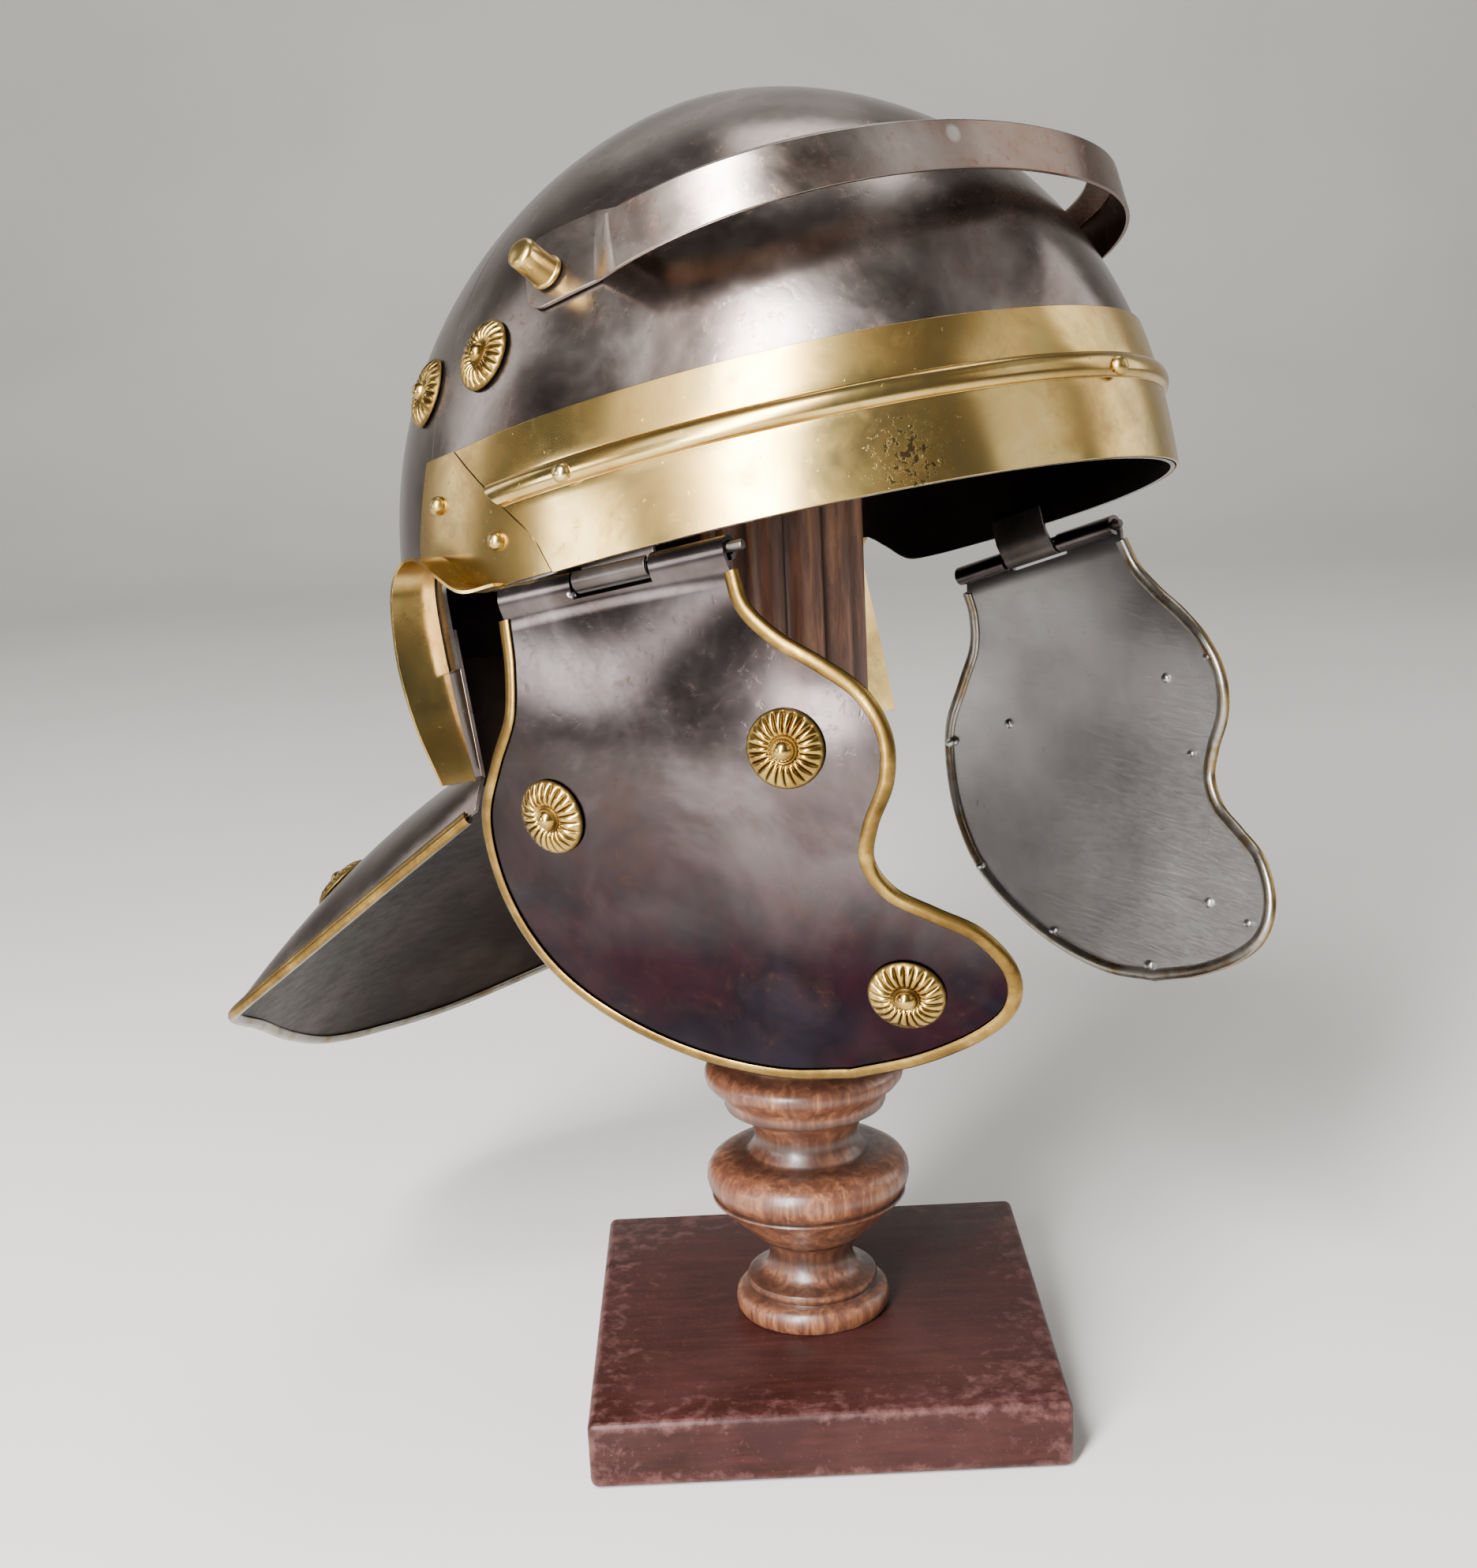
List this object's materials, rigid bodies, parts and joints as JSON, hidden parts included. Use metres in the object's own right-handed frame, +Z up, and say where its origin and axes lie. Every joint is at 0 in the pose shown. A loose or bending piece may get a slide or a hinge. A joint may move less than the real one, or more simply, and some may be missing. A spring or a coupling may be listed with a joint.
{
  "type": "roman legionary helmet on a turned wooden stand",
  "caption": "Bowl-shaped iron helmet with brass brow band, neck guard, brow guard and hinged cheek guards, held up by a turned wooden post on a square base.",
  "frame": {"origin": "middle of the underside of the stand's square base", "axes": "+Z up; X and Y along the base's edges. The helmet is turned 39 degrees on its stand, so that its face looks to +X and -Y"},
  "size_m": [0.312, 0.279, 0.3889],
  "materials": {
    "steel": "polished, browned by age",
    "brass": "polished, tarnished",
    "turned_wood": "satin varnish",
    "stained_wood": "dark stain, worn at the edges"
  },
  "bodies": {
    "helmet_and_stand": {"band_rivet_front": "brass", "band_rivet_left": "brass", "band_rivet_right": "brass", "bowl": "steel", "bowl_rosette_left_1": "brass", "bowl_rosette_left_2": "brass", "bowl_rosette_right_1": "brass", "bowl_rosette_right_2": "brass", "brow_band": "brass", "brow_guard": "steel", "brow_guard_pin_left": "brass", "brow_guard_pin_right": "brass", "ear_guard_left": "brass", "ear_guard_right": "brass", "ear_rivet_left_1": "brass", "ear_rivet_left_2": "brass", "ear_rivet_right_1": "brass", "ear_rivet_right_2": "brass", "hinge_pin_left": "steel", "hinge_pin_right": "steel", "hinge_plate_left": "steel", "hinge_plate_right": "steel", "neck_guard": "steel", "neck_guard_edging": "brass", "neck_rosette_left": "brass", "neck_rosette_middle": "brass", "neck_rosette_right": "brass", "stand_base": "stained_wood", "stand_column": "turned_wood", "stand_head": "turned_wood"},
    "cheek_left": {"cheek_edging_left": "brass", "cheek_guard_left": "steel", "cheek_rosette_left_1": "brass", "cheek_rosette_left_2": "brass", "cheek_rosette_left_3": "brass"},
    "cheek_right": {"cheek_edging_right": "brass", "cheek_guard_right": "steel", "cheek_rosette_right_1": "brass", "cheek_rosette_right_2": "brass", "cheek_rosette_right_3": "brass"}
  },
  "joints": [
    {"name": "cheek_right_swing", "type": "hinge", "parent": "helmet_and_stand", "child": "cheek_right", "pos_m": [-0.07603, -0.07062, 0.25943], "axis": [-0.8361, 0.5048, -0.2145], "range_deg": [-10, 75]},
    {"name": "cheek_left_swing", "type": "hinge", "parent": "helmet_and_stand", "child": "cheek_left", "pos_m": [0.05879, 0.08134, 0.23781], "axis": [0.6256, -0.7182, 0.3048], "range_deg": [-22, 62]}
  ]
}
